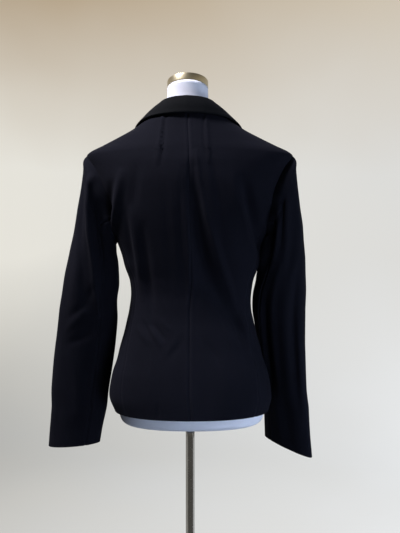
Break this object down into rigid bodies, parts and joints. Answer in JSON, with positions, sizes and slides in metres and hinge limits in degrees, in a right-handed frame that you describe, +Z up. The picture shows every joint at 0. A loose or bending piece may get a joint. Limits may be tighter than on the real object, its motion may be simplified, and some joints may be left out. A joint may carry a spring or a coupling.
{
  "type": "blazer on dress form",
  "caption": "Fitted tailored blazer, single-breasted with notched lapels, worn on a limbless form with a neck cap, a pole and a round base.",
  "frame": {"origin": "on the floor, at the middle of the base's underside, on the pole's axis", "axes": "+Z up along the pole; the garment's front faces -Y and its back +Y; the wearer's left is +X"},
  "size_m": [0.5337, 0.31, 1.518],
  "materials": {
    "suiting": "dark navy wool-blend suiting, matt with a faint sheen",
    "collar_suiting": "the same dark suiting on the collar",
    "button": "dark four-hole button",
    "jersey": "smooth white jersey cover",
    "cap_metal": "satin champagne-coloured metal",
    "chrome": "polished metal pole and base"
  },
  "bodies": {
    "root": {"back_left": "suiting", "back_right": "suiting", "side_left": "suiting", "side_right": "suiting", "front_left": "suiting", "front_right": "suiting", "lapel_left": "suiting", "lapel_right": "suiting", "collar": "collar_suiting", "sleeve_left_upper": "suiting", "sleeve_left_under": "suiting", "sleeve_right_upper": "suiting", "sleeve_right_under": "suiting", "button_upper": "button", "button_lower": "button", "form_torso": "jersey", "neck_cap": "cap_metal", "pole": "chrome", "base": "chrome"}
  },
  "joints": []
}
